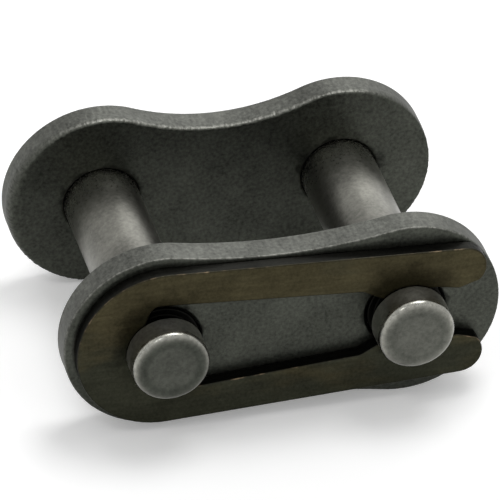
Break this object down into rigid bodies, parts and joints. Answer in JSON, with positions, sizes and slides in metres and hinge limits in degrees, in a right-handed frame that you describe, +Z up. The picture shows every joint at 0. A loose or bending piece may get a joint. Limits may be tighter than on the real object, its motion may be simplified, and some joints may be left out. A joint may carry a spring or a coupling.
{
  "type": "roller chain connecting link",
  "caption": "Outer link that joins the two ends of a roller chain: two riveted pins in a back plate, a slip-on cover plate and a spring clip that slides off the pin grooves.",
  "frame": {"origin": "midway between the two pins' axes and midway between the inner faces of the two plates", "axes": "+X along the chain from the left pin to the right pin, the pins along Y with the clip side towards -Y, +Z up; the link stands on the lower lobes of its plates"},
  "size_m": [0.0226, 0.0177, 0.01],
  "materials": {
    "plates": "dark blued steel, matt and finely mottled, with brighter sheared edges",
    "pins": "bare satin steel, turned ends",
    "clip": "spring steel with a brown temper colour"
  },
  "bodies": {
    "link": {"back_plate": "plates", "cover_plate": "plates", "left_pin": "pins", "right_pin": "pins"},
    "clip": {"spring_clip": "clip"}
  },
  "joints": [
    {"name": "clip_slide", "type": "slide", "parent": "link", "child": "clip", "axis": [-1, 0, 0], "range_m": [0, 0.0062], "deforming": ["spring_clip"]}
  ]
}
